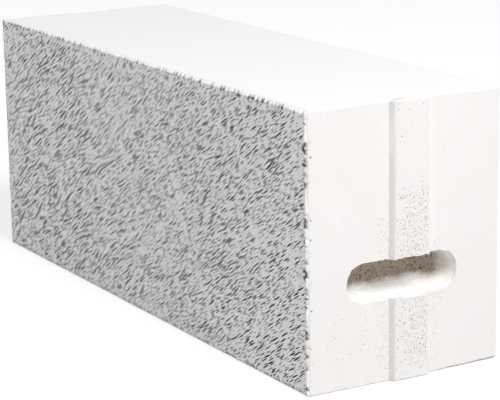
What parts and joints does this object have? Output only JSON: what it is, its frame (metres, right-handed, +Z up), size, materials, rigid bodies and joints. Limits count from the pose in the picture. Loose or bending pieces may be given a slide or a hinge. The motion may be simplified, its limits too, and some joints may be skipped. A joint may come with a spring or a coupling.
{
  "type": "aerated concrete block",
  "caption": "Long rectangular aerated concrete wall block with a tongue on one end, a matching groove on the other and a grip pocket in each end.",
  "frame": {"origin": "middle of the bottom bed face of the sawn body, which is 624 mm long without the tongue", "axes": "+X along the block towards the end with the tongue, +Y across its width, +Z up through the courses of a wall"},
  "size_m": [0.629, 0.2, 0.249],
  "materials": {
    "aerated_concrete": "wire-cut, open-pored and matt"
  },
  "bodies": {
    "root": {"block": "aerated_concrete"}
  },
  "joints": []
}
